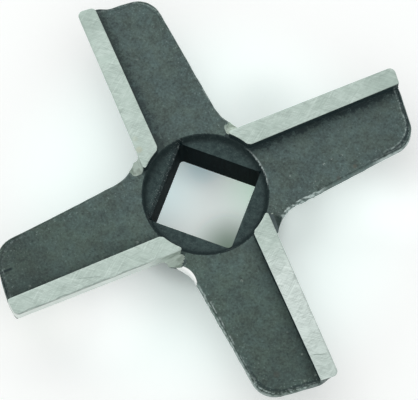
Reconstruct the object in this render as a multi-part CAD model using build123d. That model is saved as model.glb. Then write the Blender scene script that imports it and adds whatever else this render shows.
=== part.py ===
from build123d import *
import os
from math import radians, tan

# Knife of a No. 22 meat grinder: one steel forging with four arms set round a square bore.
# Each arm has a raised flat land along its leading edge, a thin web behind the land, and a
# blunt trailing edge. The lands' shared plane runs against the hole plate, so the knife cuts
# as it turns anticlockwise seen from that side. +Z is the knife's axis, from the hub's back
# face at Z = 0 towards the lands. The bore's sides lie along X and Y.
#
# An arm's own frame has +X outward along its leading edge and +Y to its leading side.

# Heights along the axis, in millimetres
knife_height = 11.0         # back face to the plane of the lands
land_step = 1.85            # how far the webs lie below the lands
recess_depth = 3.0          # how far the hub's dished floor lies below the lands
arm_root_thickness = 3.6    # under the lands, where an arm leaves the boss
arm_tip_thickness = 3.0     # under the lands, at the tip

# Square bore
bore_side = 13.0
bore_corner_radius = 0.6

# Boss at the back of the hub
boss_radius = 10.2          # at the back face
boss_draft = 10.0           # degrees that its wall leans out towards the arms
boss_fillet = 1.8           # between its wall and the arms' undersides

# Dished recess on the cutting side
recess_rim_radius = 9.55    # at the webs' level
recess_wall_lean = 28.0     # degrees from upright
recess_floor_fillet = 0.8
land_root_radius = 9.7      # round the axis, where the lands' inner ends stop
land_root_corner = 0.3      # rounding of the lands' inner corners

# One arm, seen along the axis
arm_count = 4
arm_angle = 43.0            # of the first arm's leading edge, from +X
edge_offset = 7.32          # from the axis to each leading edge's line
edge_reach = 34.05          # from the axis to the tip, along the leading edge
land_root_width = 3.35      # at the axis's level
land_taper = 0.85           # degrees that the lands narrow towards the tips
tip_lean = 5.5              # degrees that the tip falls back towards the trailing side
trailing_offset = 7.85      # from the axis to the trailing edge's line, at the axis's level
trailing_taper = 5.9        # degrees that the trailing edge closes in towards the tip
leading_corner_radius = 0.9
trailing_corner_radius = 3.8
root_fillet = 5.5           # between a trailing edge and the next arm

# Edge left by the forging dies
web_edge_radius = 0.4       # round the webs' upper outline

# Ground leading faces, each with the run-out of its grinding wheel
face_rake = 5.4             # degrees that the leading face falls back under its edge
wheel_thickness = 2.1
runout_reach = 6.65         # from the axis to the run-out's end, at the webs' level
runout_length = 2.7         # of its slope down to the arm's underside, along the arm
wheel_edge_radius = 0.8     # of the wheel's worn edge

web_height = knife_height - land_step
recess_floor_height = knife_height - recess_depth
arm_back_root = knife_height - arm_root_thickness
arm_back_tip = knife_height - arm_tip_thickness
clear = 2.0                 # how far cutting tools run past the metal
outer_radius = edge_reach + edge_offset + clear


def around(shape):
    """The copies of one arm's shape, one for each arm."""
    step = 360.0 / arm_count
    return [Rot(0, 0, arm_angle + step * i) * shape for i in range(arm_count)]


def arm_plan():
    """Outline of one whole arm, from the axis to the tip."""
    tip_depth = edge_offset + trailing_offset
    tip_low = (edge_reach - tip_depth * tan(radians(tip_lean)), edge_offset - tip_depth)
    trailing_low = (0, -trailing_offset)
    trailing_high = (outer_radius, outer_radius * tan(radians(trailing_taper)) - trailing_offset)
    wedge = Polyline((0, edge_offset), (outer_radius, edge_offset), trailing_high, trailing_low, close=True)
    end = Polyline((0, edge_offset), (edge_reach, edge_offset), tip_low, (0, tip_low[1]), close=True)
    arm = make_face(wedge) & make_face(end)
    corners = arm.vertices().sort_by(Axis.X)[-2:].sort_by(Axis.Y)
    arm = fillet(corners[0], trailing_corner_radius)
    leading = arm.vertices().filter_by(lambda v: v.X > edge_reach - leading_corner_radius).sort_by(Axis.Y)[-1]
    return fillet(leading, leading_corner_radius)


def knife_plan(arm):
    """All arms together, with the rounded corners between them."""
    plan = Sketch() + around(arm)
    roots = plan.vertices().sort_by(lambda v: Vector(v.X, v.Y).length)[:arm_count]
    return fillet(roots, root_fillet)


def land_plan(arm):
    """The raised land along one arm's leading edge."""
    inner = edge_offset - land_root_width
    far_inner = inner + outer_radius * tan(radians(land_taper))
    strip = Polyline(
        (0, edge_offset + clear), (outer_radius, edge_offset + clear),
        (outer_radius, far_inner), (0, inner), close=True,
    )
    land = (arm & make_face(strip)) - Circle(land_root_radius)
    roots = land.vertices().sort_by(Axis.X)[:2]
    return fillet(roots, land_root_corner)


def forged_section():
    """Half section of the forging: a drafted boss, then the arms' tapering undersides."""
    flare = boss_radius + arm_back_root * tan(radians(boss_draft))
    rise = (arm_back_tip - arm_back_root) / (edge_reach - flare)
    far_back = arm_back_root + rise * (outer_radius - flare)
    wall = Polyline(
        (0, 0), (boss_radius, 0), (flare, arm_back_root), (outer_radius, far_back),
        (outer_radius, knife_height), (0, knife_height), close=True,
    )
    section = make_face(wall)
    neck = section.vertices().sort_by(lambda v: abs(v.X - flare) + abs(v.Y - arm_back_root))[0]
    return fillet(neck, boss_fillet)


def recess_section():
    """Half section of the dished recess round the bore."""
    wall_run = (web_height - recess_floor_height) * tan(radians(recess_wall_lean))
    over_run = clear * tan(radians(recess_wall_lean))
    floor_radius = recess_rim_radius - wall_run
    dish = make_face(Polyline(
        (0, recess_floor_height), (floor_radius, recess_floor_height),
        (recess_rim_radius, web_height), (recess_rim_radius, knife_height + over_run),
        (0, knife_height + over_run), close=True,
    ))
    foot = dish.vertices().sort_by(Axis.Y)[:2].sort_by(Axis.X)[-1]
    return fillet(foot, recess_floor_fillet)


def wheel_cut():
    """What the wheel takes away in front of one leading face, down to its run-out."""
    foot_reach = runout_reach + runout_length
    side = Polyline(
        (runout_reach, knife_height + clear), (runout_reach, web_height),
        (foot_reach, arm_back_root), (foot_reach, -clear),
        (outer_radius, -clear), (outer_radius, knife_height + clear), close=True,
    )
    profile = make_face(Plane.XZ * side)
    cut = extrude(profile, amount=wheel_thickness, dir=(0, 1, 0))
    ends = cut.edges().filter_by(lambda e: e.center().X < foot_reach + 0.01).filter_by(Plane.XZ)
    cut = fillet(ends, wheel_edge_radius)
    hinge = Axis((0, 0, knife_height), (1, 0, 0))
    return Pos(0, edge_offset, 0) * cut.rotate(hinge, -face_rake)


def half_turned(section):
    return revolve(Plane.XZ * section, Axis.Z)


def knife():
    arm = arm_plan()
    envelope = half_turned(forged_section())
    webs = extrude(knife_plan(arm) + Circle(boss_radius), web_height) & envelope
    upper_outline = webs.edges().group_by(Axis.Z)[-1]
    webs = fillet(upper_outline, web_edge_radius)
    lands = Part() + [extrude(land, knife_height) & envelope for land in around(land_plan(arm))]
    body = webs + lands
    body -= half_turned(recess_section())
    body -= extrude(RectangleRounded(bore_side, bore_side, bore_corner_radius), knife_height)
    for cut in around(wheel_cut()):
        body -= cut
    return body


os.makedirs("parts", exist_ok=True)
part = knife()
part.label = "knife"
print("solids", len(part.solids()), "volume", round(part.volume, 1), "box", part.bounding_box())
export_step(part, "parts/knife.step")
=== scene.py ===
from math import atan2, cos, degrees, floor, hypot, radians, sin, tan

import bmesh
import bpy
from mathutils import Matrix, Vector, noise


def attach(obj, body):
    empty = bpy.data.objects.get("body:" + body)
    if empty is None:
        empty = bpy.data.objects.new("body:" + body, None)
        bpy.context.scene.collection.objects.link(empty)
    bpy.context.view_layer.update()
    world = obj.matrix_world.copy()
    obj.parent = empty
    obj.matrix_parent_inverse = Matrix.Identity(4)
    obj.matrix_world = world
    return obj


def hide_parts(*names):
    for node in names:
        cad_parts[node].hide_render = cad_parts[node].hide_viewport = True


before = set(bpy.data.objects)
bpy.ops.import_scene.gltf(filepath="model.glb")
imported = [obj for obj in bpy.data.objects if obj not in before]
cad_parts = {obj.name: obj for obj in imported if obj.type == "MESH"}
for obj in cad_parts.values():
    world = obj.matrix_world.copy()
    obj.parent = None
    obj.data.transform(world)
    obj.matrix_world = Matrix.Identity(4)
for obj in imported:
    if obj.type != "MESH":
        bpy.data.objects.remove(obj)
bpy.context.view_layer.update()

mm = 0.001
scene = bpy.context.scene
scene.view_settings.view_transform = "Standard"

# The knife's own lines, in millimetres and degrees. An arm's frame has x outward along its
# leading edge and y to its leading side.
knifeForm = {
    "armCount": 4,
    "armAngle": 43.0,
    "sectorStart": -40.0,       # where an arm's own share of the circle starts, from its x
    "edgeOffset": 7.32,
    "edgeReach": 34.05,
    "tipLean": 5.5,
    "tipCorner": 3.8,
    "landRootWidth": 3.35,
    "landTaper": 0.85,
    "trailingOffset": 7.85,
    "trailingTaper": 5.9,
    "knifeHeight": 11.0,
    "webHeight": 9.15,
    "armBackHeight": 7.4,
    "bossRadius": 10.2,
    "rimRadius": 9.55,
    "boreHalf": 6.5,
    "faceRake": 5.4,
    "wheelThickness": 2.1,
    "wheelCorner": 0.8,
    "runoutReach": 6.65,
    "runoutLength": 2.7,
}

# How the CAD forging is cut into small faces and its crisp edges are broken
meshMaking = {
    "spacing": 0.3,
    "levelSpacing": 0.45,
    "reach": 36.0,              # how far from the axis the cuts go
    "weldGap": 0.001,
    "sliceGap": 0.0001,
    "flatAngle": 0.4,           # faces that turn less than this are joined first
    "creaseAngle": 25.0,        # edges that turn more than this may be bevelled
    "sharpAngle": 42.0,         # edges that turn more than this stay sharp to the light
    "footStart": 9.0,           # how far out the bevels at the lands' feet start
    "bevels": {"rim": 0.14, "bore": 0.1, "foot": 0.28, "land": 0.05},
}

forgedShape = {
    "waveHeight": 0.05,
    "waveLength": 5.0,
    "dentHeight": 0.025,
    "dentLength": 1.1,
    "edgeWander": 0.06,
    "edgeLength": 1.8,
    "burrHeight": 0.22,
    "burrLength": 0.7,
    "rollOff": 0.2,
    "rollOffStart": 16.0,       # how far out along an arm the roll-off starts
    "rollOffWidth": (0.1, 0.75),
    "hubReach": 10.5,           # outside this radius an outline is an arm's own
    "landRootX": 8.83,          # the corners of a land's inner side, along the arm
    "landTipX": 33.78,
    "landRootCorner": 0.45,
    "upright": 0.85,            # a normal's z, past which a face lies flat
    "cutAlong": (28.0, 33.0),   # where a tip is cut back, along and across the arm
    "cutAcross": (4.2, 7.2),
    "swellAlong": (30.0, 33.0),
    "swellRise": (2.4, 4.0),    # across the arm, where the swelling starts and ends
    "swellFall": (4.4, 5.2),
    "swellTop": (9.2, 9.6),
    "swellSize": 1.4,
    "sinkRise": (0.4, 1.6),     # the hollow behind it
    "sinkFall": (1.6, 3.2),
    "sinkSize": 0.45,
}

# What is particular to an arm. The four arms keep whatever they don't name.
plainArm = {
    "darkScaleAndShade": 0.6,                # how dark the painted shade beside the land is
    "footShadeReach": 0.8,           # how wide it lies
    "torn": (9.5, 11.0),        # from where to where the trailing flash is torn, along the arm
    "tornSize": 0.2,
    "edge": 0.12,               # bright wear on the outline
    "ridge": 0.45,              # worn ridge round the tip
    "ridgeInset": 0.16,         # how far inside the outline it lies
    "flash": 0.0,               # bright flash at the tip's trailing corner
    "tipTone": 0.0,             # how much darker the web gets towards the tip
    "land": 0.0,                # how much a painted sheen brightens the land
    "burrAndShade": 0.2,                # dark burr along the cutting edge, painted with its shade
    "face": 0.9,                # how bright the ground face is painted, as its light and shade
    "runoutLit": 0.75,             # how bright the wheel's run-out is painted, from painted shade to painted light
    "groundTo": 9.6,            # how far across the run-out is ground
    "groundEnd": 31.0,          # how far out the ground end of the land starts
    "landCorner": 0.2,          # rounding of the land's inner corner at the tip
    "cut": 0.0,                 # how far the leading part of the tip is cut back
    "under": 0.0,               # and how much more for each millimetre below the lands
    "swell": 0.0,               # how far the web swells out beside the land at the tip
}

# the four arms, in the order of their angles
armMarks = [{**plainArm, **marks} for marks in (
    {
        "darkScaleAndShade": 0.9, "footShadeReach": 0.95, "torn": (9.5, 17.0), "tornSize": 1.0, "edge": 0.06,
        "ridge": 1.0, "ridgeInset": 0.78, "flash": 1.0, "tipTone": 0.14, "burrAndShade": 0.1, "runoutLit": 1.0,
    },
    {
        "footShadeReach": 1.5, "torn": (10.0, 12.5), "tornSize": 0.25, "edge": 0.3, "ridge": 0.35,
        "flash": 0.25, "face": 0.8, "runoutLit": 0.7, "landCorner": 0.7, "swell": 0.28,
    },
    {
        "darkScaleAndShade": 0.65, "ridgeInset": 0.6, "tipTone": 0.3, "land": 0.05, "burrAndShade": 0.55, "face": 1.1,
        "cut": 0.4,
    },
    {
        "darkScaleAndShade": 0.45, "footShadeReach": 0.2, "torn": (13.0, 27.0), "tornSize": 0.5, "edge": 0.24,
        "ridge": 0.8, "ridgeInset": 0.14, "flash": 0.75, "tipTone": 0.18, "land": 1.0, "face": 0.7,
        "runoutLit": 0.1, "groundTo": 8.25, "groundEnd": 40.0, "landCorner": 0.1, "under": 0.3,
    },
)]


def armTurn(arm):
    # angle from the part's x to an arm's x
    return radians(knifeForm["armAngle"] + arm * 360.0 / knifeForm["armCount"])


def armFrame(point):
    # which arm a point belongs to, and its place along and across that arm, in millimetres
    turn = degrees(atan2(point.y, point.x)) - knifeForm["armAngle"] - knifeForm["sectorStart"]
    arm = floor(turn / (360.0 / knifeForm["armCount"])) % knifeForm["armCount"]
    return arm, inArm(point, arm)


def inArm(point, arm):
    angle = armTurn(arm)
    x = point.x * cos(angle) + point.y * sin(angle)
    y = point.y * cos(angle) - point.x * sin(angle)
    return Vector((x, y, point.z)) / mm


def onPart(arm, x, y, z):
    # a point of an arm's frame in the part's frame, in millimetres
    angle = armTurn(arm)
    return Vector((x * cos(angle) - y * sin(angle), x * sin(angle) + y * cos(angle), z))


def alongArm(arm):
    # directions of an arm's outward and leading axes
    angle = armTurn(arm)
    return Vector((cos(angle), sin(angle), 0)), Vector((-sin(angle), cos(angle), 0))


def landInner(x):
    return knifeForm["edgeOffset"] - knifeForm["landRootWidth"] + x * tan(radians(knifeForm["landTaper"]))


def trailingLine(x):
    return x * tan(radians(knifeForm["trailingTaper"])) - knifeForm["trailingOffset"]


def near(value, target, gap=0.02):
    return abs(value - target) < gap


def smoothStep(low, high, value):
    t = min(1.0, max(0.0, (value - low) / (high - low)))
    return t * t * (3 - 2 * t)


def hump(rise, fall, value):
    # up from 0 to 1 over the first range and back to 0 over the second
    return smoothStep(*rise, value) * (1 - smoothStep(*fall, value))


def edgeKind(edge):
    # names the crisp edges that get a small bevel, before the mesh is sliced
    form = knifeForm
    if len(edge.link_faces) != 2 or edge.calc_face_angle(0) < radians(meshMaking["creaseAngle"]):
        return None
    ends = [v.co / mm for v in edge.verts]
    heights = [p.z for p in ends]
    if all(near(z, form["knifeHeight"]) for z in heights):
        return "land"
    if all(near(z, form["webHeight"]) for z in heights):
        if all(near(hypot(p.x, p.y), form["rimRadius"], 0.03) for p in ends):
            return "rim"
        _, middle = armFrame((edge.verts[0].co + edge.verts[1].co) / 2)
        if near(middle.y, landInner(middle.x), 0.05) and middle.x > meshMaking["footStart"]:
            return "foot"
    widest = max(abs(value) for p in ends for value in (p.x, p.y))
    if widest < form["boreHalf"] + 0.1 and near(heights[0], heights[1]):
        return "bore"
    return None


def sliceAcross(bm, direction, reach, spacing):
    for i in range(int(2 * reach / spacing)):
        at = direction * (-reach + (i + 0.5) * spacing) * mm
        geometry = bm.verts[:] + bm.edges[:] + bm.faces[:]
        gap = meshMaking["sliceGap"] * mm
        bmesh.ops.bisect_plane(bm, geom=geometry, plane_co=at, plane_no=direction, dist=gap)


def makeBlank():
    # the CAD forging, welded, cleaned and cut into small faces
    making = meshMaking
    bm = bmesh.new()
    bm.from_mesh(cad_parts["knife"].data)
    bmesh.ops.remove_doubles(bm, verts=bm.verts[:], dist=making["weldGap"] * mm)
    flat = radians(making["flatAngle"])
    bmesh.ops.dissolve_limit(bm, angle_limit=flat, verts=bm.verts[:], edges=bm.edges[:])
    for kind, size in making["bevels"].items():
        edges = [e for e in bm.edges if edgeKind(e) == kind]
        print("bevel", kind, len(edges))
        bmesh.ops.bevel(
            bm, geom=edges, offset=size * mm, offset_type="OFFSET",
            affect="EDGES", segments=2, profile=0.5, material=-1, clamp_overlap=True,
        )
    sliceAcross(bm, Vector((0, 0, 1)), knifeForm["knifeHeight"], making["levelSpacing"])
    for direction in alongArm(0):
        sliceAcross(bm, direction, making["reach"], making["spacing"])
    bmesh.ops.triangulate(bm, faces=[f for f in bm.faces if len(f.verts) > 4])
    print("blank faces", len(bm.faces))
    return bm


def wheelDepth(q):
    # how deep a point of an arm's frame lies in the grinding wheel's path, zero on its surface
    form = knifeForm
    rake = radians(form["faceRake"])
    out, drop = q.y - form["edgeOffset"], q.z - form["knifeHeight"]
    side = out * cos(rake) - drop * sin(rake)
    up = form["knifeHeight"] + drop * cos(rake) + out * sin(rake)
    fall = form["webHeight"] - form["armBackHeight"]
    reached = min(1.0, max(0.0, (form["webHeight"] - up) / fall))
    inward = q.x - form["runoutReach"] - form["runoutLength"] * reached
    if 0 < reached < 1:
        inward *= sin(atan2(fall, form["runoutLength"]))
    side = min(side, form["wheelThickness"] - side)
    corner = form["wheelCorner"]
    if inward < corner and side < corner:
        return corner - hypot(corner - inward, corner - side)
    return min(inward, side)


# Where the wheel's marks are looked for in an arm's frame, in millimetres
groundZone = {
    "faceStart": 6.0,           # along the arm
    "faceAcross": (6.0, 7.4),
    "runoutAlong": (6.4, 10.2),
    "runoutAcross": 6.6,
    "runoutUp": (7.2, 9.12),
    "pathGap": 0.05,            # how near a run-out's face lies to the wheel's path
    "endUp": 8.6,
}


def isGround(arm, centre, normal):
    # whether a face is the wheel's work on one arm: its leading face, run-out or land's end
    zone, marks = groundZone, armMarks[arm]
    q, turned = inArm(centre, arm), inArm(normal, arm) * mm
    low, high = zone["faceAcross"]
    if zone["faceStart"] < q.x and low < q.y < high and turned.y > 0.9:
        return True
    start, end = zone["runoutAlong"]
    bottom, top = zone["runoutUp"]
    if start < q.x < end and bottom < q.z < top and zone["runoutAcross"] < q.y < marks["groundTo"]:
        if abs(wheelDepth(q)) < zone["pathGap"]:
            return True
    atEnd = q.x > marks["groundEnd"] and q.y > landInner(q.x) - 0.1 and q.z > zone["endUp"]
    return atEnd and abs(normal.z) < 0.7 and (turned.x > 0.6 or turned.y > 0.3)


def regionOf(face):
    # finish of a face: 0 forged, 1 land, 2 ground face, 3 dish, 4 bore
    centre, normal = face.calc_center_median(), face.normal
    p = centre / mm
    half = knifeForm["boreHalf"] + 0.02
    if abs(p.x) < half and abs(p.y) < half:
        return 4
    if p.z > knifeForm["knifeHeight"] - 0.04 and normal.z > 0.8:
        return 1
    if any(isGround(arm, centre, normal) for arm in range(knifeForm["armCount"])):
        return 2
    if hypot(p.x, p.y) < knifeForm["rimRadius"] + 0.1 and p.z > 7.9 and normal.z > 0.1:
        return 3
    return 0


def outlineGap(q):
    # how far a point lies inside an arm's tip and trailing edge
    form = knifeForm
    lean, taper, corner = radians(form["tipLean"]), radians(form["trailingTaper"]), form["tipCorner"]
    tip = (form["edgeReach"] - (form["edgeOffset"] - q.y) * tan(lean) - q.x) * cos(lean)
    side = (q.y - trailingLine(q.x)) * cos(taper)
    return corner - hypot(max(corner - tip, 0), max(corner - side, 0))


def cornerPull(point, corner, normals, radius):
    # how a point near a corner of a plan moves for the corner to be rounded
    gap = point - corner
    a, b = (radius - gap.dot(normal) for normal in normals)
    if a <= 0 or b <= 0:
        return Vector((0, 0))
    reach = hypot(a, b)
    core = radius * 0.4         # inside this nothing moves
    if reach <= core:
        return Vector((0, 0))
    edge = radius * reach / max(a, b)
    kept = core + (reach - core) * (radius - core) / max(edge - core, 1e-6)
    toCore = (normals[0] * a + normals[1] * b).normalized()
    return toCore * (reach - kept)


def roundLands(bm):
    # rounds the lands' inner corners, cuts back the tips and swells a web beside its land
    form, shape = knifeForm, forgedShape
    lean, taper = radians(form["tipLean"]), radians(form["landTaper"])
    root, tip = (Vector((x, landInner(x))) for x in (shape["landRootX"], shape["landTipX"]))
    inward = Vector((-sin(taper), cos(taper)))
    back = Vector((-cos(lean), sin(lean)))
    for v in bm.verts:
        arm, q = armFrame(v.co)
        marks = armMarks[arm]
        move = Vector((0, 0))
        if q.z > form["webHeight"] + 0.1:
            flat = Vector((q.x, q.y))
            move += cornerPull(flat, root, (inward, root.normalized()), shape["landRootCorner"])
            move += cornerPull(flat, tip, (inward, back), marks["landCorner"])
        cut = marks["cut"] + marks["under"] * (form["knifeHeight"] - q.z)
        move.x -= cut * smoothStep(*shape["cutAcross"], q.y) * smoothStep(*shape["cutAlong"], q.x)
        swell = hump(shape["swellRise"], shape["swellFall"], q.y) * shape["swellSize"]
        swell *= 1 - smoothStep(*shape["swellTop"], q.z)
        swell -= hump(shape["sinkRise"], shape["sinkFall"], q.y) * shape["sinkSize"]
        move.x += marks["swell"] * swell * smoothStep(*shape["swellAlong"], q.x)
        outward, leading = alongArm(arm)
        v.co += (outward * move.x + leading * move.y) * mm


def tornAmount(arm, q):
    # how torn the flash is at a point of an arm's outline, 0 to 1
    marks = armMarks[arm]
    start, end = marks["torn"]
    along = hump((start - 1.0, start + 1.0), (end - 2.0, end + 1.0), q.x)
    return along * marks["tornSize"] * (1 - smoothStep(0.5, 2.5, q.y - trailingLine(q.x)))


def shapeForged(bm):
    # hammer-scale waves, small dents, rolled-off tips and a wandering outline, on forged faces only
    form = forgedShape
    for v in bm.verts:
        kinds = {f.material_index for f in v.link_faces}
        if kinds != {0}:
            continue
        p = v.co / mm
        move = noise.fractal(p / form["waveLength"], 1.0, 2.0, 2) * form["waveHeight"]
        move += noise.noise(p / form["dentLength"]) * form["dentHeight"]
        arm, q = armFrame(v.co)
        behind = landInner(q.x) - q.y       # how far behind the land's foot
        if abs(v.normal.z) < form["upright"] and behind > 0.5 and hypot(q.x, q.y) > form["hubReach"]:
            move += noise.noise(p / form["edgeLength"]) * form["edgeWander"]
            torn = noise.fractal(p / form["burrLength"], 0.8, 2.0, 2)
            move += torn * form["burrHeight"] * tornAmount(arm, q)
        onWeb = v.normal.z > form["upright"] and q.z > 8.9 and behind > 0.3
        if onWeb and q.x > form["rollOffStart"]:
            rolled = 1 - smoothStep(*form["rollOffWidth"], outlineGap(q) + 0.2 * noise.noise(p))
            move -= form["rollOff"] * rolled * (0.3 + 0.7 * armMarks[arm]["ridge"])
        v.co += v.normal * move * mm


# Where bright metal shows on the forging, in millimetres and degrees
wornMarks = {
    "rimArcRise": (24, 38),         # round the axis
    "rimArcFall": (52, 74),
    "flashCentre": (29.2, -3.9),    # in an arm's frame
    "flashFade": (2.6, 4.6),        # by distance from its centre
    "flashTop": (8.85, 9.1),
    "flashGrit": (0.2, 0.5),        # how broken up each kind is
    "outlineGrit": (0.35, 0.6),
    "boreGrit": (0.62, 0.8),
    "boreWear": 0.4,
    "tornWear": 1.3,
    "upright": 0.93,                # a normal's z, past which a face lies flat
}


def wearAt(v, arm, q):
    # bright worn metal on the outline and on the bore's left edge, 0 to 1
    marks = wornMarks
    p = v.co / mm
    grit = noise.noise(p * 1.9) * 0.5 + 0.5
    wear = 0.0
    if near(p.x, -knifeForm["boreHalf"] - 0.12, 0.2) and abs(p.y) < 6.4 and p.z > 7.8:
        wear = marks["boreWear"] * smoothStep(*marks["boreGrit"], grit)
    onOutline = abs(v.normal.z) < marks["upright"] and q.y < landInner(q.x) - 0.4
    if onOutline and hypot(p.x, p.y) > forgedShape["hubReach"]:
        gritty = smoothStep(*marks["outlineGrit"], grit)
        wear = max(wear, tornAmount(arm, q) * gritty * marks["tornWear"])
        if v.normal.z > -0.3:
            wear = max(wear, armMarks[arm]["edge"] * gritty)
    return min(1.0, wear)


def flashAt(v, arm, q):
    # bright flash left round the trailing corner of a tip, 0 to 1
    marks = wornMarks
    if abs(v.normal.z) > marks["upright"] or q.x < 24 or q.y > 0:
        return 0.0
    grit = noise.noise(v.co / mm * 1.5) * 0.5 + 0.5
    x, y = marks["flashCentre"]
    reach = 1 - smoothStep(*marks["flashFade"], hypot(q.x - x, q.y - y))
    low = 1 - smoothStep(*marks["flashTop"], q.z)
    return armMarks[arm]["flash"] * reach * low * smoothStep(*marks["flashGrit"], grit)


def rimArcAt(v):
    # where the dish's rim is worn bright, round the axis
    angle = degrees(atan2(v.co.y, v.co.x))
    return hump(wornMarks["rimArcRise"], wornMarks["rimArcFall"], angle)


def writeMarks(mesh):
    # marks that the materials read: wear, flash and the rim's arc by point, and by face corner
    # the place in the arm's frame, the arm's own look with its painted shade, and its painted light
    byPoint = {"wear": [], "flash": [], "rimArc": []}
    for v in mesh.vertices:
        arm, q = armFrame(v.co)
        byPoint["wear"].append(wearAt(v, arm, q))
        byPoint["flash"].append(flashAt(v, arm, q))
        byPoint["rimArc"].append(rimArcAt(v))
    byCorner = {"armPlace": [], "armLook": [], "armPaintedLight": [], "armReach": []}
    for face in mesh.polygons:
        arm, _ = armFrame(face.center)
        marks = armMarks[arm]
        for index in face.vertices:
            byCorner["armPlace"].extend(inArm(mesh.vertices[index].co, arm))
            byCorner["armLook"].extend((marks["darkScaleAndShade"], marks["ridge"], marks["burrAndShade"]))
            byCorner["armPaintedLight"].extend((marks["land"], marks["face"], marks["runoutLit"]))
            byCorner["armReach"].extend((marks["footShadeReach"], marks["tipTone"], marks["ridgeInset"]))
    for name, values in byPoint.items():
        mesh.attributes.new(name, "FLOAT", "POINT").data.foreach_set("value", values)
    for name, values in byCorner.items():
        mesh.attributes.new(name, "FLOAT_VECTOR", "CORNER").data.foreach_set("vector", values)


def makeKnife():
    bm = makeBlank()
    for f in bm.faces:
        f.material_index = regionOf(f)
        f.smooth = True
    low = [min(v.co[i] for v in bm.verts) for i in range(3)]
    high = [max(v.co[i] for v in bm.verts) for i in range(3)]
    roundLands(bm)
    shapeForged(bm)
    for v in bm.verts:      # kept inside the forging's own box
        v.co = [min(high[i], max(low[i], v.co[i])) for i in range(3)]
    bm.normal_update()
    sharp = radians(meshMaking["sharpAngle"])
    for e in bm.edges:
        e.smooth = len(e.link_faces) == 2 and e.calc_face_angle(0) < sharp
    mesh = bpy.data.meshes.new("forgedKnife")
    bm.to_mesh(mesh)
    triangles = sum(len(f.verts) - 2 for f in bm.faces)
    looseEdges = sum(1 for e in bm.edges if len(e.link_faces) != 2)
    print("knife triangles", triangles, "loose edges", looseEdges, "volume", bm.calc_volume())
    bm.free()
    writeMarks(mesh)
    piece = bpy.data.objects.new("forgedKnife", mesh)
    scene.collection.objects.link(piece)
    return piece


def newMaterial(name):
    made = bpy.data.materials.new(name)
    made.use_nodes = True
    return made, made.node_tree, made.node_tree.nodes["Principled BSDF"]


def feed(tree, socket, value):
    if isinstance(value, bpy.types.NodeSocket):
        tree.links.new(value, socket)
    elif isinstance(value, tuple):
        socket.default_value = (*value, 1) if len(socket.default_value) == 4 else value
    else:
        socket.default_value = value


def calc(tree, operation, first, *others, clamp=False):
    # one value alone, or several taken together in their order
    for other in others or (0.0,):
        node = tree.nodes.new("ShaderNodeMath")
        node.operation = operation
        node.use_clamp = clamp
        feed(tree, node.inputs[0], first)
        feed(tree, node.inputs[1], other)
        first = node.outputs[0]
    return first


def weighted(tree, *parts):
    # sum of values, each with its weight
    return calc(tree, "ADD", *[calc(tree, "MULTIPLY", value, weight) for value, weight in parts])


def lengthOf(tree, a, b):
    return calc(tree, "SQRT", weighted(tree, (a, a), (b, b)))


def spread(tree, value, low, high, toLow=0.0, toHigh=1.0):
    # eases a value's range low..high onto toLow..toHigh
    node = tree.nodes.new("ShaderNodeMapRange")
    node.interpolation_type = "SMOOTHSTEP"
    feed(tree, node.inputs["Value"], value)
    for name, number in (("From Min", low), ("From Max", high), ("To Min", toLow), ("To Max", toHigh)):
        node.inputs[name].default_value = number
    return node.outputs[0]


def blendColor(tree, factor, a, b, kind="MIX"):
    node = tree.nodes.new("ShaderNodeMix")
    node.data_type = "RGBA"
    node.blend_type = kind
    feed(tree, node.inputs["Factor"], factor)
    feed(tree, node.inputs["A"], a)
    feed(tree, node.inputs["B"], b)
    return node.outputs["Result"]


def tinted(tree, color, tint):
    return blendColor(tree, 1.0, color, tint, "MULTIPLY")


def pointValue(tree, name, output="Fac"):
    node = tree.nodes.new("ShaderNodeAttribute")
    node.attribute_name = name
    return node.outputs[output]


def split(tree, vector):
    node = tree.nodes.new("ShaderNodeSeparateXYZ")
    tree.links.new(vector, node.inputs[0])
    return node.outputs


def inMillimetres(tree, turn=0.0, stretch=(1, 1, 1)):
    # object coordinates in millimetres, turned about the axis and squeezed
    place = tree.nodes.new("ShaderNodeTexCoord")
    turned = tree.nodes.new("ShaderNodeVectorRotate")
    turned.rotation_type = "Z_AXIS"
    tree.links.new(place.outputs["Object"], turned.inputs["Vector"])
    turned.inputs["Angle"].default_value = radians(turn)
    return stretched(tree, turned.outputs[0], [1000 * s for s in stretch])


def stretched(tree, vector, stretch):
    mapping = tree.nodes.new("ShaderNodeMapping")
    mapping.inputs["Scale"].default_value = stretch
    tree.links.new(vector, mapping.inputs["Vector"])
    return mapping.outputs[0]


def grain(tree, vector, scale, detail=3.0, roughness=0.55):
    node = tree.nodes.new("ShaderNodeTexNoise")
    node.inputs["Scale"].default_value = scale
    node.inputs["Detail"].default_value = detail
    node.inputs["Roughness"].default_value = roughness
    tree.links.new(vector, node.inputs["Vector"])
    return node.outputs["Fac"]


def cellGap(tree, vector, scale):
    node = tree.nodes.new("ShaderNodeTexVoronoi")
    node.inputs["Scale"].default_value = scale
    tree.links.new(vector, node.inputs["Vector"])
    return node.outputs["Distance"]


def dress(tree, shader, color, metal, roughness, gloss, height, bump):
    # a plain number stays on the shader's own socket, bump is a strength and a depth
    named = {"Base Color": color, "Metallic": metal, "Roughness": roughness, "Specular IOR Level": gloss}
    for name, value in named.items():
        feed(tree, shader.inputs[name], value)
    strength, depth = bump
    node = tree.nodes.new("ShaderNodeBump")
    node.inputs["Strength"].default_value = strength
    node.inputs["Distance"].default_value = depth * mm
    tree.links.new(height, node.inputs["Height"])
    tree.links.new(node.outputs[0], shader.inputs["Normal"])


def axisDistance(tree, at):
    x, y, _ = split(tree, at)
    return lengthOf(tree, x, y)


def distanceTo(tree, at, point):
    node = tree.nodes.new("ShaderNodeVectorMath")
    node.operation = "DISTANCE"
    tree.links.new(at, node.inputs[0])
    node.inputs[1].default_value = point
    return node.outputs["Value"]


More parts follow.
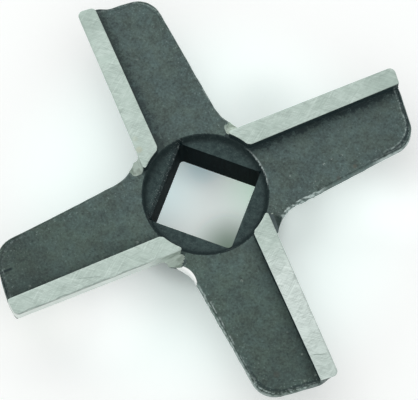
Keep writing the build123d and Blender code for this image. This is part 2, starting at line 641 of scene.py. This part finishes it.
def spots(tree, at, marks, height):
    # the strongest of several small round marks, each (arm, x, y, radius, strength)
    found = []
    for arm, x, y, radius, strength in marks:
        gap = distanceTo(tree, at, onPart(arm, x, y, height))
        found.append(spread(tree, gap, radius * 0.4, radius, strength, 0.0))
    return calc(tree, "MAXIMUM", *found)


def strokes(tree, at, marks, height):
    # thin straight scores, each (arm, x0, y0, x1, y1, width, strength)
    found = []
    for arm, x0, y0, x1, y1, width, strength in marks:
        start, end = onPart(arm, x0, y0, height), onPart(arm, x1, y1, height)
        node = tree.nodes.new("ShaderNodeMapping")
        node.vector_type = "TEXTURE"
        node.inputs["Location"].default_value = (start + end) / 2
        node.inputs["Rotation"].default_value = (0, 0, atan2(end.y - start.y, end.x - start.x))
        node.inputs["Scale"].default_value = ((end - start).length / 2, width, 1)
        tree.links.new(at, node.inputs["Vector"])
        along, across, _ = split(tree, node.outputs[0])
        ends = spread(tree, calc(tree, "ABSOLUTE", along), 0.6, 1.0, strength, 0.0)
        sides = spread(tree, calc(tree, "ABSOLUTE", across), 0.3, 1.0, 1.0, 0.0)
        found.append(calc(tree, "MULTIPLY", ends, sides))
    return calc(tree, "MAXIMUM", *found)


def tipOutline(tree, x, y):
    # outlineGap as nodes: distance inside the tip, and inside the whole outline
    form = knifeForm
    lean, taper, corner = radians(form["tipLean"]), radians(form["trailingTaper"]), form["tipCorner"]
    back = calc(tree, "MULTIPLY", calc(tree, "SUBTRACT", form["edgeOffset"], y), tan(lean))
    tip = calc(tree, "SUBTRACT", form["edgeReach"], back, x)
    side = calc(tree, "SUBTRACT", y, calc(tree, "MULTIPLY", x, tan(taper)))
    side = calc(tree, "ADD", side, form["trailingOffset"])
    pulls = [calc(tree, "MAXIMUM", calc(tree, "SUBTRACT", corner, gap), 0.0) for gap in (tip, side)]
    return tip, calc(tree, "SUBTRACT", corner, lengthOf(tree, *pulls))


def rimWear(tree, at, fine):
    # thin bright arc on the dish's rim
    gap = calc(tree, "SUBTRACT", axisDistance(tree, at), knifeForm["rimRadius"] + 0.03)
    gap = calc(tree, "ADD", gap, calc(tree, "MULTIPLY", calc(tree, "SUBTRACT", fine, 0.5), 0.5))
    band = spread(tree, calc(tree, "ABSOLUTE", gap), 0.03, 0.16, 1.0, 0.0)
    broken = spread(tree, fine, 0.36, 0.62, 0.1, 0.8)
    return calc(tree, "MULTIPLY", band, pointValue(tree, "rimArc"), broken)


# The one root fillet that is polished and painted near white as a highlight, in its arm's frame and in
# millimetres
brightRoot = {
    "arm": 3,
    "middle": (10.41, -7.11, 8.4),
    "axis": (12.82, -12.05, 0.0),
    "radius": 5.5,
    "narrowing": 0.09,      # how fast the bright band narrows away from its middle
    "reach": (2.0, 2.3),
    "bottom": (7.1, 7.3),
}


def polishedRootHighlight(tree, at):
    # painted highlight on the polished fillet, by distance from its own axis
    root = brightRoot
    axis = onPart(root["arm"], *root["axis"])
    reach = distanceTo(tree, at, onPart(root["arm"], *root["middle"]))
    x, y, z = split(tree, at)
    across = [calc(tree, "SUBTRACT", value, centre) for value, centre in ((x, axis.x), (y, axis.y))]
    gap = calc(tree, "SUBTRACT", lengthOf(tree, *across), root["radius"])
    narrowed = calc(tree, "ADD", gap, calc(tree, "MULTIPLY", reach, reach, root["narrowing"]))
    return calc(
        tree, "MULTIPLY",
        spread(tree, narrowed, 0.42, 0.54, 1.0, 0.0), spread(tree, gap, -0.6, -0.4),
        spread(tree, reach, *root["reach"], 1.0, 0.0), spread(tree, z, *root["bottom"]),
    )


forgedLook = {
    "cool": (0.067, 0.104, 0.099),
    "olive": (0.069, 0.103, 0.092),
    # the darkest scale, also the colour of the painted shade
    "darkScaleAndShade": (0.0075, 0.0205, 0.0235),
    "speck": (0.36, 0.42, 0.40),
    "rust": (0.105, 0.080, 0.058),
    "bright": (0.54, 0.64, 0.62),
    "flash": (0.45, 0.54, 0.52),
    "polishedHighlight": (0.95, 0.98, 0.965),
    "grains": ((0.2, 2), (0.85, 5, 0.62), (2.7, 3, 0.7)),   # broad, mottled and fine
    "tone": (0.52, 1.5),                # darkest and palest of the mottling
    "pits": (1.2, 0.08, 0.26),          # how close they lie, and where their edges start and end
    "lowerTint": (0.9, 0.94, 0.885),    # of the half towards -y
    "lowerZone": (-2.0, -14.0),         # between which y it comes in
    "wallTone": 0.4,                    # how much paler the upright sides are painted, as painted light
    "wallShade": 0.92,                   # how dark the lands' walls are painted, as shade
    "shadeWidth": 2.6,                  # of the soft painted shade beside a land
    "footShadeEdge": (0.35, 1.35),           # where the ragged painted shade fades
    "tipZone": (21.0, 30.0),            # along the arm, where the web gets darker
    "ridgeZone": (26.0, 29.0),          # along the arm, where the ridge comes in
    "ridgeWidth": (0.03, 0.2),          # of the bright line on it
    "ridgeShade": (0.1, 0.3),           # of the dark line inside it
    "insets": (0.14, 0.78),             # the least and the most that a ridge is set in
    "roughness": (0.5, 0.72),
    "gloss": 0.3,
    "bump": (0.5, 0.1),
    "specks": [
        (0, 18.4, -2.5, 0.26, 0.8), (0, 19.8, -2.2, 0.2, 0.45), (0, 21.5, -2.2, 0.22, 0.45),
        (0, 12.9, -2.3, 0.24, 0.4), (0, 16.1, -4.5, 0.2, 0.5), (1, 24.0, 1.4, 0.3, 0.25),
        (2, 12.4, 3.1, 0.26, 0.8), (2, 29.8, 3.3, 0.26, 0.6), (3, 14.7, -0.2, 0.26, 0.7),
        (3, 28.6, 3.7, 0.24, 0.7), (3, 32.5, 2.5, 0.3, 0.7), (3, 32.3, 4.3, 0.26, 0.8),
        (3, 24.6, 3.0, 0.22, 0.4),
    ],
    "stains": [(0, 22.6, -4.6, 0.45, 0.7), (0, 19.6, -5.4, 0.5, 0.6), (3, 30.0, -1.0, 0.7, 0.4)],
    "nicks": [
        (2, 33.6, -0.25, 31.0, -0.3, 0.3, 1.0), (2, 33.1, -0.4, 33.5, 4.0, 0.2, 0.85),
        (1, 32.9, -0.6, 33.0, -1.7, 0.2, 0.7), (2, 30.6, -1.0, 28.2, -0.6, 0.3, 0.25),
    ],
}


def footShade(tree, x, y, darkScaleAndShade, reach, mottle, fine):
    # painted shade along a land's foot: a ragged dark band over a softer shade
    form, look = knifeForm, forgedLook
    gap = calc(tree, "SUBTRACT", calc(tree, "MULTIPLY", x, tan(radians(form["landTaper"]))), y)
    gap = calc(tree, "ADD", gap, form["edgeOffset"] - form["landRootWidth"])
    shade = calc(tree, "MULTIPLY", spread(tree, gap, 0.0, look["shadeWidth"], 0.5, 0.0), darkScaleAndShade)
    ragged = calc(tree, "SUBTRACT", weighted(tree, (mottle, 2.6), (fine, 1.4)), 2.0)
    gap = calc(tree, "ADD", calc(tree, "DIVIDE", gap, reach), ragged)
    band = calc(tree, "MULTIPLY", spread(tree, gap, *look["footShadeEdge"], 0.9, 0.0), darkScaleAndShade)
    return calc(tree, "MAXIMUM", band, shade)


def ridgeMarks(tree, x, z, gap, ridge, inset, mottle, fine):
    # round a tip, a broken bright line on the worn ridge and a dark line inside it
    look = forgedLook
    outer = spread(tree, x, *look["ridgeZone"])
    waver = calc(tree, "MULTIPLY", calc(tree, "SUBTRACT", mottle, 0.5), 0.5)
    waved = calc(tree, "ADD", gap, waver)
    darkAt = spread(tree, inset, *look["insets"], 0.62, 0.44)
    dark = calc(tree, "ABSOLUTE", calc(tree, "SUBTRACT", waved, darkAt))
    onTop = calc(tree, "MULTIPLY", ridge, spread(tree, z, 8.7, 8.95))
    dark = calc(tree, "MULTIPLY", spread(tree, dark, *look["ridgeShade"], 0.85, 0.0), outer, onTop)
    line = calc(tree, "ABSOLUTE", calc(tree, "SUBTRACT", waved, inset))
    line = calc(
        tree, "MULTIPLY", spread(tree, line, *look["ridgeWidth"], 1.0, 0.0), outer,
        spread(tree, inset, *look["insets"], 0.95, 0.42), ridge,
        spread(tree, fine, 0.4, 0.62), spread(tree, mottle, 0.42, 0.6, 0.3, 1.0),
    )
    return line, dark


def forgedScale():
    # dark as-forged scale: mottled and pitted, with painted shade beside the lands and on their walls,
    # painted light on its upright sides, worn round the outline
    look = forgedLook
    webHeight = knifeForm["webHeight"]
    made, tree, shader = newMaterial("forgedScale")
    at = inMillimetres(tree)
    x, y, z = split(tree, pointValue(tree, "armPlace", "Vector"))
    darkScaleAndShade, ridge, _ = split(tree, pointValue(tree, "armLook", "Vector"))
    footShadeReach, tipTone, inset = split(tree, pointValue(tree, "armReach", "Vector"))
    broad, mottle, fine = (grain(tree, at, *setting) for setting in look["grains"])

    # the scale itself, with its rust, pits and specks
    tone = weighted(tree, (broad, 0.35), (mottle, 0.7), (fine, 0.95))
    color = blendColor(tree, spread(tree, grain(tree, at, 0.33, 3), 0.38, 0.62), look["cool"], look["olive"])
    color = tinted(tree, color, spread(tree, tone, 0.62, 1.38, *look["tone"]))
    rust = spread(tree, grain(tree, at, 0.75, 4, 0.6), 0.62, 0.76, 0.0, 0.05)
    stains = calc(tree, "MULTIPLY", spots(tree, at, look["stains"], webHeight), fine)
    color = blendColor(tree, calc(tree, "ADD", rust, stains, clamp=True), color, look["rust"])
    closeness, *pitEdge = look["pits"]
    pits = spread(tree, cellGap(tree, at, closeness), *pitEdge, 1.0, 0.0)
    color = blendColor(tree, calc(tree, "MULTIPLY", pits, 0.4), color, look["darkScaleAndShade"])
    specks = spots(tree, at, look["specks"], webHeight)
    specks = calc(tree, "MULTIPLY", specks, spread(tree, grain(tree, at, 4.5, 2), 0.35, 0.6))
    color = blendColor(tree, specks, color, look["speck"])

    # dark: painted shade beside the lands and on their walls, the line inside the ridge and the nicks
    tip, gap = tipOutline(tree, x, y)
    band = footShade(tree, x, y, darkScaleAndShade, footShadeReach, mottle, fine)
    # painted shade on the lands' walls, above the web
    wall = spread(tree, z, webHeight + 0.02, webHeight + 0.15)
    wall = calc(tree, "MULTIPLY", wall, look["wallShade"], spread(tree, tip, 0.04, 0.12, 0.35, 1.0))
    line, rim = ridgeMarks(tree, x, z, gap, ridge, inset, mottle, fine)
    dark = calc(tree, "MAXIMUM", band, wall, rim, strokes(tree, at, look["nicks"], webHeight))
    tipDark = calc(tree, "MULTIPLY", spread(tree, x, *look["tipZone"]), tipTone)
    color = tinted(tree, color, calc(tree, "SUBTRACT", 1.0, tipDark))
    color = blendColor(tree, dark, color, look["darkScaleAndShade"])
    _, across, _ = split(tree, at)
    lower = spread(tree, across, *look["lowerZone"])
    color = blendColor(tree, lower, color, tinted(tree, color, look["lowerTint"]))

    # pale: painted light on upright sides, worn outline, flecks, flash and the one polished root with its
    # painted highlight
    facing = tree.nodes.new("ShaderNodeTexCoord").outputs["Normal"]
    # painted light: upright sides made paler, but not the lands' walls
    upright = spread(tree, calc(tree, "ABSOLUTE", split(tree, facing)[2]), 0.3, 0.8, 1.0, 0.0)
    sideLight = calc(tree, "MULTIPLY", upright, look["wallTone"], calc(tree, "SUBTRACT", 1.0, wall))
    color = tinted(tree, color, calc(tree, "ADD", sideLight, 1.0))
    wear = calc(tree, "MULTIPLY", pointValue(tree, "wear"), spread(tree, fine, 0.25, 0.55))
    flecks = calc(
        tree, "MULTIPLY", spread(tree, grain(tree, at, 3.4, 2, 0.6), 0.6, 0.7, 0.0, 0.5),
        spread(tree, calc(tree, "MINIMUM", gap, 4.0), 0.2, 3.2, 1.0, 0.3),
        spread(tree, mottle, 0.42, 0.6), 0.55,
    )
    wear = calc(tree, "MAXIMUM", wear, line, rimWear(tree, at, fine), flecks)
    color = blendColor(tree, wear, color, look["bright"])
    flash = calc(tree, "MULTIPLY", pointValue(tree, "flash"), spread(tree, fine, 0.25, 0.55, 0.35, 0.95))
    color = blendColor(tree, flash, color, look["flash"])
    color = blendColor(tree, polishedRootHighlight(tree, at), color, look["polishedHighlight"])

    metal = calc(tree, "MULTIPLY", wear, 0.4)
    roughness = spread(tree, mottle, 0.3, 0.7, *look["roughness"])
    height = weighted(tree, (mottle, 0.8), (fine, 0.5), (pits, -0.2), (specks, 0.2))
    dress(tree, shader, color, metal, roughness, look["gloss"], height, look["bump"])
    return made


landLook = {
    "dull": (0.435, 0.53, 0.48),
    "bright": (0.515, 0.612, 0.563),
    "tip": (0.36, 0.45, 0.405),
    "paintedSheen": (0.72, 0.80, 0.77),
    "scratch": (0.24, 0.30, 0.27),
    "glint": (0.78, 0.86, 0.82),
    "burrAndShade": (0.13, 0.16, 0.15),
    "stain": (0.42, 0.43, 0.30),
    "grains": ((0.6, 4, 0.6), (3.0, 2, 0.6)),   # clouded and fine
    "middleStart": (10.0, 18.0),            # along the arm, where the painted sheen on a land is brightest
    "middleEnd": (24.0, 33.0),
    "tipZone": (27.0, 32.0),                # along the arm, where the land takes the tip's colour
    "burrZone": (10.0, 14.0),
    "burrWidth": (0.05, 0.17),
    "metal": 0.75,
    "roughness": (0.36, 0.5),
    "gloss": 0.5,
    "bump": (0.22, 0.03),
    "scratchTurns": (-22, -8, 28, 62),      # degrees
    "scores": [
        (2, 23.3, 5.4, 19.4, 6.6, 0.10, 0.75), (2, 20.6, 6.0, 19.5, 6.7, 0.16, 0.5),
        (1, 24.4, 6.0, 23.9, 4.9, 0.08, 0.45), (3, 29.6, 4.5, 30.5, 7.1, 0.13, 0.8),
        (3, 10.6, 5.2, 10.9, 7.1, 0.08, 0.4), (0, 26.0, 4.9, 28.2, 6.4, 0.07, 0.35),
    ],
    "stains": [(1, 9.8, 6.8, 0.7, 0.4), (1, 11.6, 6.7, 0.6, 0.2)],
}


def groundLand():
    # the lapped lands: soft mottling under fine scratches that cross, with painted glints and sheen, and a
    # dark burr at the edge painted with its shade
    look = landLook
    top = knifeForm["knifeHeight"]
    made, tree, shader = newMaterial("groundLand")
    at = inMillimetres(tree)
    x, y, _ = split(tree, pointValue(tree, "armPlace", "Vector"))
    _, _, burrAndShade = split(tree, pointValue(tree, "armLook", "Vector"))
    land, _, _ = split(tree, pointValue(tree, "armPaintedLight", "Vector"))
    cloud, fine = (grain(tree, at, *setting) for setting in look["grains"])
    color = blendColor(tree, spread(tree, cloud, 0.34, 0.66), look["dull"], look["bright"])
    rise, fall = spread(tree, x, *look["middleStart"]), spread(tree, x, *look["middleEnd"], 1.0, 0.6)
    # painted sheen along the middle of a land
    color = blendColor(tree, calc(tree, "MULTIPLY", land, rise, fall, 0.75), color, look["paintedSheen"])
    plain = spread(tree, land, 0.0, 0.05, 1.0, 0.0)
    end = calc(tree, "MULTIPLY", spread(tree, x, *look["tipZone"], 0.0, 0.75), plain)
    color = blendColor(tree, end, color, look["tip"])
    lines = calc(tree, "MULTIPLY", fine, 0.5)
    for index, turn in enumerate(look["scratchTurns"]):
        along = inMillimetres(tree, -turn - 20, (0.05 + 0.02 * (index % 2), 2.3, 1))
        line = grain(tree, along, 0.95 + 0.22 * index, 3, 0.7)
        patch = spread(tree, grain(tree, inMillimetres(tree, 35 * index), 0.45, 2), 0.36, 0.6)
        thin = calc(tree, "ABSOLUTE", calc(tree, "SUBTRACT", line, 0.5))
        thin = calc(tree, "MULTIPLY", spread(tree, thin, 0.0, 0.045, 0.4, 0.0), patch)
        color = blendColor(tree, thin, color, look["scratch"])
        # painted glints along the scratches
        glint = calc(tree, "MULTIPLY", spread(tree, line, 0.57, 0.72, 0.0, 0.22), patch)
        color = blendColor(tree, glint, color, look["glint"])
        color = blendColor(tree, spread(tree, line, 0.45, 0.32, 0.0, 0.16), color, look["scratch"])
        lines = calc(tree, "ADD", lines, line)
    color = blendColor(tree, spots(tree, at, look["stains"], top), color, look["stain"])
    scores = strokes(tree, at, look["scores"], top)
    scored = calc(tree, "MULTIPLY", scores, spread(tree, fine, 0.3, 0.55, 0.45, 1.0))
    color = blendColor(tree, scored, color, look["scratch"])
    # dark burr along the cutting edge, painted with its shade
    edge = calc(tree, "SUBTRACT", knifeForm["edgeOffset"] + 0.28, y)
    edge = calc(tree, "SUBTRACT", edge, calc(tree, "MULTIPLY", grain(tree, at, 0.55, 3, 0.6), 0.75))
    edge = spread(tree, calc(tree, "ABSOLUTE", edge), *look["burrWidth"], 1.0, 0.0)
    edge = calc(tree, "MULTIPLY", edge, burrAndShade, spread(tree, x, *look["burrZone"]), 0.8)
    color = blendColor(tree, edge, color, look["burrAndShade"])
    roughness = spread(tree, cloud, 0.3, 0.7, *look["roughness"])
    height = weighted(tree, (lines, 1.0), (scores, -1.5))
    dress(tree, shader, color, look["metal"], roughness, look["gloss"], height, look["bump"])
    return made


faceLook = {
    # the run-out's root goes from painted shade to painted light, then its hatch line
    "rootShaded": (0.034, 0.060, 0.070),
    "rootLit": (0.59, 0.70, 0.62),
    "rootLine": (0.30, 0.36, 0.30),
    "dull": (0.48, 0.54, 0.50),
    "bright": (0.77, 0.84, 0.80),
    "burrAndShade": (0.17, 0.20, 0.185),
    "hatchTurn": -32,               # degrees about the arm's y
    "runoutZone": (9.0, 13.0),      # along the arm, from the run-out's look to the face's
    "burrZone": (10.0, 14.0),
    "burrHeight": (10.95, 11.25),
    "metal": 0.25,
    "roughness": 0.5,
    "gloss": 0.5,
    "bump": (0.25, 0.04),
}


def groundFace():
    # leading faces, ground along the arm, hatched where the wheel ran out, with painted light and shade on
    # each arm's face and run-out
    look = faceLook
    made, tree, shader = newMaterial("groundFace")
    place = pointValue(tree, "armPlace", "Vector")
    x, _, z = split(tree, place)
    _, _, burrAndShade = split(tree, pointValue(tree, "armLook", "Vector"))
    _, face, runoutLit = split(tree, pointValue(tree, "armPaintedLight", "Vector"))
    streaks = grain(tree, stretched(tree, place, (0.3, 1, 3.2)), 1.3, 4, 0.65)
    turned = tree.nodes.new("ShaderNodeVectorRotate")
    turned.rotation_type = "Y_AXIS"
    turned.inputs["Angle"].default_value = radians(look["hatchTurn"])
    tree.links.new(place, turned.inputs["Vector"])
    hatch = grain(tree, stretched(tree, turned.outputs[0], (0.5, 1.1, 3.0)), 1.0, 3, 0.6)
    cloud = grain(tree, place, 0.8, 3)
    # painted shade and light on the run-out, by the arm
    root = blendColor(tree, runoutLit, look["rootShaded"], look["rootLit"])
    hatched = calc(tree, "MULTIPLY", spread(tree, hatch, 0.6, 0.4), 0.7)
    root = blendColor(tree, hatched, root, blendColor(tree, runoutLit, look["rootShaded"], look["rootLine"]))
    tone = weighted(tree, (streaks, 0.6), (cloud, 0.4))
    tone = calc(tree, "MULTIPLY", spread(tree, tone, 0.36, 0.62), 0.5)
    # painted light on the ground face, by the arm
    lit = calc(tree, "ADD", tone, calc(tree, "MULTIPLY", face, 0.55), clamp=True)
    ground = blendColor(tree, lit, look["dull"], look["bright"])
    color = blendColor(tree, spread(tree, x, *look["runoutZone"]), root, ground)
    # dark burr along the top of the face, painted with its shade
    edge = spread(tree, calc(tree, "ADD", z, calc(tree, "MULTIPLY", cloud, 0.9)), *look["burrHeight"])
    edge = calc(tree, "MULTIPLY", edge, burrAndShade, spread(tree, x, *look["burrZone"]), 0.8)
    color = blendColor(tree, edge, color, look["burrAndShade"])
    height = calc(tree, "ADD", streaks, hatch)
    dress(tree, shader, color, look["metal"], look["roughness"], look["gloss"], height, look["bump"])
    return made


dishLook = {
    "dark": (0.0175, 0.035, 0.036),
    "light": (0.047, 0.079, 0.076),
    "black": (0.003, 0.010, 0.0115),
    "grains": ((1.1, 5, 0.65), (3.1, 3, 0.65)),     # mottled and fine
    "wall": (8.35, 9.15),           # radii between which it gets blacker
    "flecked": (-8.2, -6.9),        # x between which the flecks come in
    "roughness": 0.62,
    "gloss": 0.22,
    "bump": (0.45, 0.1),
}


def dishScale():
    # blackened dish: blacker up its wall, and flecked with bright metal by the bore's left edge
    look = dishLook
    made, tree, shader = newMaterial("dishScale")
    at = inMillimetres(tree)
    mottle, fine = (grain(tree, at, *setting) for setting in look["grains"])
    tone = weighted(tree, (mottle, 0.6), (fine, 0.4))
    color = blendColor(tree, spread(tree, tone, 0.36, 0.66), look["dark"], look["light"])
    wall = spread(tree, axisDistance(tree, at), *look["wall"], 0.0, 0.62)
    color = blendColor(tree, wall, color, look["black"])
    x, _, _ = split(tree, at)
    gap = calc(tree, "SUBTRACT", 0.0, x, knifeForm["boreHalf"])
    ragged = calc(tree, "MULTIPLY", calc(tree, "SUBTRACT", mottle, 0.5), 1.4)
    gap = spread(tree, calc(tree, "SUBTRACT", gap, ragged), 0.25, 0.75, 0.75, 0.0)
    beside = calc(tree, "MULTIPLY", gap, spread(tree, x, -6.5, -6.3, 1.0, 0.0))
    color = blendColor(tree, beside, color, look["black"])
    flecks = calc(
        tree, "MULTIPLY", spread(tree, grain(tree, at, 5.2, 2, 0.6), 0.58, 0.68, 0.0, 0.5),
        spread(tree, x, *look["flecked"], 0.12, 1.0), spread(tree, x, -6.4, -6.1, 1.0, 0.2), 0.45,
    )
    wear = calc(tree, "MULTIPLY", pointValue(tree, "wear"), spread(tree, fine, 0.4, 0.6), 0.6)
    wear = calc(tree, "MAXIMUM", wear, flecks, rimWear(tree, at, fine))
    color = blendColor(tree, wear, color, forgedLook["bright"])
    dress(tree, shader, color, 0.0, look["roughness"], look["gloss"], tone, look["bump"])
    return made


boreLook = {
    # near black, painted as the shade inside the bore
    "dark": (0.0004, 0.0045, 0.0055),
    "light": (0.002, 0.011, 0.0125),
    "worn": (0.03, 0.045, 0.045),
    "drawn": (2.6, 2.6, 0.22),      # how the marks are squeezed across and stretched along it
    "roughness": 0.75,
    "gloss": 0.06,
    "bump": (0.4, 0.08),
}


def boreScaleAndShade():
    # the broached bore, dark steel painted near black as the shade inside it, with faint marks drawn along
    # its walls
    look = boreLook
    made, tree, shader = newMaterial("boreScaleAndShade")
    at = inMillimetres(tree)
    drawn = grain(tree, stretched(tree, at, look["drawn"]), 1.0, 3, 0.6)
    color = blendColor(tree, spread(tree, drawn, 0.3, 0.8), look["dark"], look["light"])
    worn = spread(tree, grain(tree, at, 1.6, 4), 0.62, 0.72, 0.0, 0.5)
    color = blendColor(tree, worn, color, look["worn"])
    dress(tree, shader, color, 0.0, look["roughness"], look["gloss"], drawn, look["bump"])
    return made


knife = makeKnife()
for finish in (forgedScale(), groundLand(), groundFace(), dishScale(), boreScaleAndShade()):
    knife.data.materials.append(finish)
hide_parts("knife")
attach(knife, "root")
print("knife made")

cameraSetting = {
    "turn": -20.47,         # of the knife about its axis, degrees
    "tilt": -17.72,         # of the knife's axis away from the line of sight, degrees
    "tiltAxis": 0.48,       # direction of the axis that it tilts about, degrees
    "distance": 0.4515,     # to the lands' plane, metres
    "shiftRight": -0.000532,
    "shiftUp": 0.001478,
    "focalPixels": 2999.8,
    "frameWidth": 418,
}


def makeCamera():
    setting = cameraSetting
    data = bpy.data.cameras.new("camera")
    data.sensor_fit = "HORIZONTAL"
    data.sensor_width = 36.0
    data.lens = data.sensor_width * setting["focalPixels"] / setting["frameWidth"]
    data.clip_end = 10
    camera = bpy.data.objects.new("camera", data)
    scene.collection.objects.link(camera)
    aim = Matrix.Translation((0, 0, -knifeForm["knifeHeight"] * mm))
    turn = Matrix.Rotation(radians(setting["turn"]), 4, "Z")
    tiltAxis = radians(setting["tiltAxis"])
    tilt = Matrix.Rotation(radians(setting["tilt"]), 4, Vector((cos(tiltAxis), sin(tiltAxis), 0)))
    place = Matrix.Translation((setting["shiftRight"], setting["shiftUp"], -setting["distance"]))
    camera.matrix_world = (place @ tilt @ turn @ aim).inverted()
    scene.camera = camera


# Painted shadows and painted pools of light on the paper are soft and round: x, y and radius in millimetres,
# then the tint
stageSetting = {
    "floorSize": 3.0,
    "floorColor": (0.865, 0.945, 0.925),
    # painted shade: the paper greyer far from the axis
    "farShadeColor": (0.80, 0.815, 0.807),
    "farShadeFrom": (19.0, 36.0),    # distances from the axis between which the floor takes this painted shade
    "seenLight": 0.255,         # how much paler the floor looks to the camera than it is lit
    "contactShadowReach": 3.5,        # how far the painted contact shadow round the boss's foot spreads
    "paintedBoreShadows": [
        (5.3, -4.2, 7.4, (0.30, 0.37, 0.31)), (-3.2, 7.0, 5.0, (0.68, 0.79, 0.84)),
    ],
    "paintedBoreLights": [
        (-8.0, 1.0, 8.5, (1.65, 1.95, 2.05)), (6.4, 6.0, 7.5, (1.25, 1.65, 1.35)),
    ],
    "paintedOpenShadows": [(2.5, 19.0, 9.0, (0.84, 0.84, 0.84))],
    "paintedOpenLights": [
        (-9.5, -19.5, 12.0, (1.9, 1.68, 1.72)), (-18.5, -25.0, 10.0, (1.6, 1.6, 1.55)),
        (20.0, 9.5, 9.0, (1.6, 1.6, 1.6)), (28.0, 12.0, 9.0, (1.6, 1.65, 1.65)),
        (11.5, 4.0, 5.0, (1.4, 1.4, 1.4)),
    ],
    "worldLight": 0.88,
    "lampSize": 0.5,
    "lampDistance": 0.7,
    "lampAngle": 140.0,         # round the axis, from +X
    "lampHeight": 52.0,         # above the floor, degrees
    "lampPower": 0.75,
}


def paintedLightAndShade(tree, at, tints, within=1.0):
    # several painted shadows and pools of light together, each fading outward
    total = (1, 1, 1)
    for x, y, radius, tint in tints:
        fade = spread(tree, distanceTo(tree, at, (x, y, 0)), 0.0, radius, 1.0, 0.0)
        amount = calc(tree, "MULTIPLY", fade, within)
        total = tinted(tree, total, blendColor(tree, amount, (1, 1, 1), tint))
    return total


def paleFloor():
    # white paper that the camera and reflections see a little brighter than it is lit, with painted shadows
    # and pools of light, a painted contact shadow round the boss's foot and painted shade far out
    look = stageSetting
    made, tree, shader = newMaterial("paleFloor")
    at = inMillimetres(tree)
    radius, foot = axisDistance(tree, at), knifeForm["bossRadius"]
    underHub = spread(tree, radius, foot - 1.2, foot, 1.0, 0.0)
    # painted shade far from the axis
    color = blendColor(tree, spread(tree, radius, *look["farShadeFrom"]), look["floorColor"], look["farShadeColor"])
    # painted shadows under the bore and between the arms
    color = tinted(tree, color, paintedLightAndShade(tree, at, look["paintedBoreShadows"], underHub))
    color = tinted(tree, color, paintedLightAndShade(tree, at, look["paintedOpenShadows"]))
    feed(tree, shader.inputs["Base Color"], color)
    # painted pools of light, in the glow that the camera sees
    lit = tinted(tree, color, paintedLightAndShade(tree, at, look["paintedBoreLights"], underHub))
    lit = tinted(tree, lit, paintedLightAndShade(tree, at, look["paintedOpenLights"]))
    feed(tree, shader.inputs["Emission Color"], lit)
    shader.inputs["Roughness"].default_value = 0.9
    shader.inputs["Specular IOR Level"].default_value = 0.1
    rays = tree.nodes.new("ShaderNodeLightPath").outputs
    kinds = (rays["Is Camera Ray"], rays["Is Glossy Ray"], rays["Is Transmission Ray"])
    seen = calc(tree, "ADD", *kinds, clamp=True)
    # painted contact shadow: less glow round the boss's foot
    contactShadow = calc(
        tree, "MULTIPLY", spread(tree, radius, foot - 0.2, foot),
        spread(tree, radius, foot, foot + look["contactShadowReach"], 0.7, 0.0),
    )
    strength = calc(tree, "MULTIPLY", seen, calc(tree, "SUBTRACT", 1.0, contactShadow), look["seenLight"])
    feed(tree, shader.inputs["Emission Strength"], strength)
    return made


def makeFloor():
    bm = bmesh.new()
    bmesh.ops.create_grid(bm, x_segments=1, y_segments=1, size=stageSetting["floorSize"] / 2)
    mesh = bpy.data.meshes.new("floor")
    bm.to_mesh(mesh)
    bm.free()
    floorPiece = bpy.data.objects.new("floor", mesh)
    scene.collection.objects.link(floorPiece)
    floorPiece.data.materials.append(paleFloor())


def makeLight():
    light = stageSetting
    world = bpy.data.worlds.new("studio")
    scene.world = world
    world.use_nodes = True
    background = world.node_tree.nodes["Background"]
    background.inputs["Color"].default_value = (1, 1, 1, 1)
    background.inputs["Strength"].default_value = light["worldLight"]
    data = bpy.data.lights.new("softLamp", "AREA")
    data.shape = "SQUARE"
    data.size = light["lampSize"]
    data.energy = light["lampPower"]
    lamp = bpy.data.objects.new("softLamp", data)
    around, above = radians(light["lampAngle"]), radians(light["lampHeight"])
    aim = Vector((cos(around) * cos(above), sin(around) * cos(above), sin(above)))
    lamp.location = aim * light["lampDistance"]
    lamp.rotation_euler = aim.to_track_quat("Z", "Y").to_euler()
    scene.collection.objects.link(lamp)


makeCamera()
makeFloor()
makeLight()
print("camera, floor and light made")
